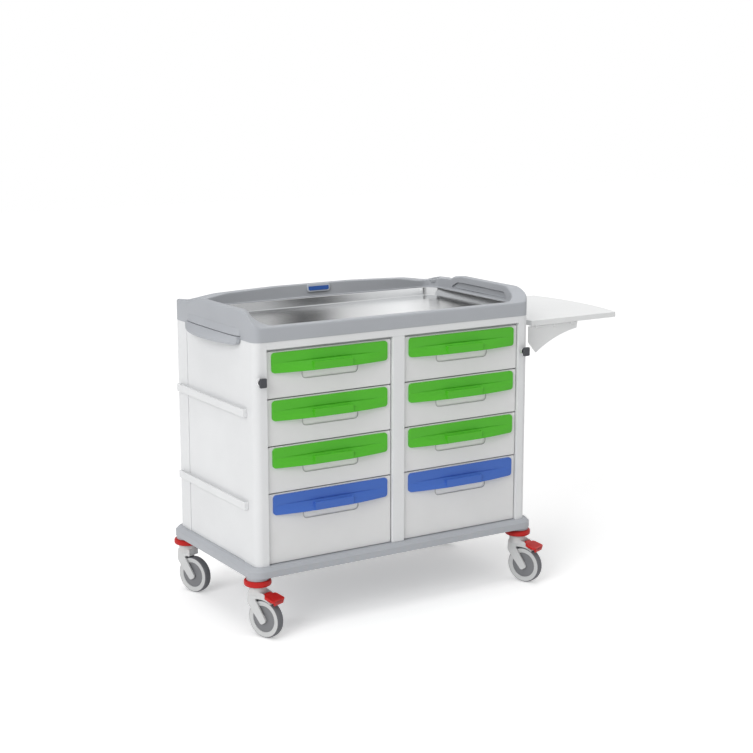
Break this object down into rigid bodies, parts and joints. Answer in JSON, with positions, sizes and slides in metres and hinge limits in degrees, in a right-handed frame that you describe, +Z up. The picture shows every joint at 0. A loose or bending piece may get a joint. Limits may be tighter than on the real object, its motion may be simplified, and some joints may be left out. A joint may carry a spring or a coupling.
{
  "type": "medication cart",
  "caption": "Ward medication cart: a cabinet with two columns of drawers, a steel tray top in a raised surround, a fold-down side shelf, a push handle and swivel casters.",
  "frame": {"origin": "on the floor, under the middle of the cart's box with the shelf up", "axes": "+Z up, the drawers face -Y, the shelf folds down on the +X side"},
  "size_m": [1.57, 0.6574, 1.043],
  "materials": {
    "white_shell": "fine moulded texture, satin",
    "shelf_white": "smooth satin",
    "drawer_front": "fine moulded texture, satin",
    "drawer_tray": "plain moulded",
    "grey_moulding": "fine moulded texture, satin",
    "brushed_tray": "brushed along its length",
    "runner_zinc": "zinc plated",
    "hinge_steel": "plain",
    "lock_chrome": "bright plated",
    "key_dark": "moulded",
    "handle_green": "satin gloss",
    "handle_blue": "satin gloss",
    "badge_blue": "satin gloss",
    "ring_red": "soft matte",
    "pedal_red": "satin gloss",
    "fork_grey": "smooth satin",
    "wheel_grey": "matte tread"
  },
  "bodies": {
    "cart": {"base_bumper": "grey_moulding", "front_left_post": "white_shell", "front_right_post": "white_shell", "rear_posts": "white_shell", "left_panel": "white_shell", "right_panel": "white_shell", "back_panel": "white_shell", "centre_wall": "white_shell", "header_strip": "white_shell", "accessory_rails": "white_shell", "shelf_bracket": "white_shell", "drawer_runners": "runner_zinc", "top_surround": "grey_moulding", "back_gallery": "grey_moulding", "push_handle": "grey_moulding", "steel_tray": "brushed_tray", "badge_plate": "badge_blue", "lock_barrels": "lock_chrome", "bumper_rings": "ring_red", "bracket_screws": "hinge_steel", "hinge_pin": "hinge_steel"},
    "left_drawer_1": {"left_drawer_1_front": "drawer_front", "left_drawer_1_tray": "drawer_tray", "left_drawer_1_handle": "handle_green"},
    "left_drawer_2": {"left_drawer_2_front": "drawer_front", "left_drawer_2_tray": "drawer_tray", "left_drawer_2_handle": "handle_green"},
    "left_drawer_3": {"left_drawer_3_front": "drawer_front", "left_drawer_3_tray": "drawer_tray", "left_drawer_3_handle": "handle_green"},
    "left_drawer_4": {"left_drawer_4_front": "drawer_front", "left_drawer_4_tray": "drawer_tray", "left_drawer_4_handle": "handle_blue"},
    "right_drawer_1": {"right_drawer_1_front": "drawer_front", "right_drawer_1_tray": "drawer_tray", "right_drawer_1_handle": "handle_green"},
    "right_drawer_2": {"right_drawer_2_front": "drawer_front", "right_drawer_2_tray": "drawer_tray", "right_drawer_2_handle": "handle_green"},
    "right_drawer_3": {"right_drawer_3_front": "drawer_front", "right_drawer_3_tray": "drawer_tray", "right_drawer_3_handle": "handle_green"},
    "right_drawer_4": {"right_drawer_4_front": "drawer_front", "right_drawer_4_tray": "drawer_tray", "right_drawer_4_handle": "handle_blue"},
    "shelf": {"shelf_leaf": "shelf_white"},
    "wing_front": {"front_wing": "shelf_white"},
    "wing_rear": {"rear_wing": "shelf_white"},
    "caster_front_left": {"front_left_fork": "fork_grey"},
    "wheel_front_left": {"front_left_wheel": "wheel_grey"},
    "pedal_front_left": {"front_left_pedal": "pedal_red"},
    "caster_front_right": {"front_right_fork": "fork_grey"},
    "wheel_front_right": {"front_right_wheel": "wheel_grey"},
    "pedal_front_right": {"front_right_pedal": "pedal_red"},
    "caster_rear_left": {"rear_left_fork": "fork_grey"},
    "wheel_rear_left": {"rear_left_wheel": "wheel_grey"},
    "caster_rear_right": {"rear_right_fork": "fork_grey"},
    "wheel_rear_right": {"rear_right_wheel": "wheel_grey"},
    "key_left": {"left_key": "key_dark"},
    "key_right": {"right_key": "key_dark"}
  },
  "joints": [
    {"name": "left_drawer_1_slide", "type": "slide", "parent": "cart", "child": "left_drawer_1", "axis": [0, -1, 0], "range_m": [0, 0.38]},
    {"name": "left_drawer_2_slide", "type": "slide", "parent": "cart", "child": "left_drawer_2", "axis": [0, -1, 0], "range_m": [0, 0.38]},
    {"name": "left_drawer_3_slide", "type": "slide", "parent": "cart", "child": "left_drawer_3", "axis": [0, -1, 0], "range_m": [0, 0.38]},
    {"name": "left_drawer_4_slide", "type": "slide", "parent": "cart", "child": "left_drawer_4", "axis": [0, -1, 0], "range_m": [0, 0.38]},
    {"name": "right_drawer_1_slide", "type": "slide", "parent": "cart", "child": "right_drawer_1", "axis": [0, -1, 0], "range_m": [0, 0.38]},
    {"name": "right_drawer_2_slide", "type": "slide", "parent": "cart", "child": "right_drawer_2", "axis": [0, -1, 0], "range_m": [0, 0.38]},
    {"name": "right_drawer_3_slide", "type": "slide", "parent": "cart", "child": "right_drawer_3", "axis": [0, -1, 0], "range_m": [0, 0.38]},
    {"name": "right_drawer_4_slide", "type": "slide", "parent": "cart", "child": "right_drawer_4", "axis": [0, -1, 0], "range_m": [0, 0.38]},
    {"name": "shelf_fold", "type": "hinge", "parent": "cart", "child": "shelf", "pos_m": [0.362, 0.02372, 0.911], "axis": [0, 1, 0], "range_deg": [0, 90]},
    {"name": "front_wing_fold", "type": "hinge", "parent": "shelf", "child": "wing_front", "pos_m": [0.372, -0.19928, 0.895], "axis": [1, 0, 0], "range_deg": [0, 90]},
    {"name": "rear_wing_fold", "type": "hinge", "parent": "shelf", "child": "wing_rear", "pos_m": [0.372, 0.24672, 0.895], "axis": [-1, 0, 0], "range_deg": [0, 90]},
    {"name": "front_left_swivel", "type": "hinge", "parent": "cart", "child": "caster_front_left", "pos_m": [-0.722, -0.23628, 0.164], "axis": [0, 0, 1], "continuous": true},
    {"name": "front_left_roll", "type": "hinge", "parent": "caster_front_left", "child": "wheel_front_left", "pos_m": [-0.70969, -0.26689, 0.0625], "axis": [0.9278, 0.373, 0], "continuous": true},
    {"name": "front_left_brake", "type": "hinge", "parent": "caster_front_left", "child": "pedal_front_left", "pos_m": [-0.70783, -0.27153, 0.142], "axis": [0.9278, 0.373, 0], "range_deg": [0, 12]},
    {"name": "front_right_swivel", "type": "hinge", "parent": "cart", "child": "caster_front_right", "pos_m": [0.312, -0.23628, 0.164], "axis": [0, 0, 1], "continuous": true},
    {"name": "front_right_roll", "type": "hinge", "parent": "caster_front_right", "child": "wheel_front_right", "pos_m": [0.32431, -0.26689, 0.0625], "axis": [0.9278, 0.373, 0], "continuous": true},
    {"name": "front_right_brake", "type": "hinge", "parent": "caster_front_right", "child": "pedal_front_right", "pos_m": [0.32617, -0.27153, 0.142], "axis": [0.9278, 0.373, 0], "range_deg": [0, 12]},
    {"name": "rear_left_swivel", "type": "hinge", "parent": "cart", "child": "caster_rear_left", "pos_m": [-0.722, 0.28372, 0.164], "axis": [0, 0, 1], "continuous": true},
    {"name": "rear_left_roll", "type": "hinge", "parent": "caster_rear_left", "child": "wheel_rear_left", "pos_m": [-0.70969, 0.25311, 0.0625], "axis": [0.9278, 0.373, 0], "continuous": true},
    {"name": "rear_right_swivel", "type": "hinge", "parent": "cart", "child": "caster_rear_right", "pos_m": [0.312, 0.28372, 0.164], "axis": [0, 0, 1], "continuous": true},
    {"name": "rear_right_roll", "type": "hinge", "parent": "caster_rear_right", "child": "wheel_rear_right", "pos_m": [0.32431, 0.25311, 0.0625], "axis": [0.9278, 0.373, 0], "continuous": true},
    {"name": "left_key_turn", "type": "hinge", "parent": "cart", "child": "key_left", "pos_m": [-0.714, -0.26178, 0.828], "axis": [0, -1, 0], "range_deg": [0, 90]},
    {"name": "right_key_turn", "type": "hinge", "parent": "cart", "child": "key_right", "pos_m": [0.304, -0.26178, 0.828], "axis": [0, -1, 0], "range_deg": [0, 90]}
  ],
  "couplings": [
    {"joint": "front_wing_fold", "follows": "shelf_fold", "ratio": 1},
    {"joint": "rear_wing_fold", "follows": "shelf_fold", "ratio": 1}
  ]
}
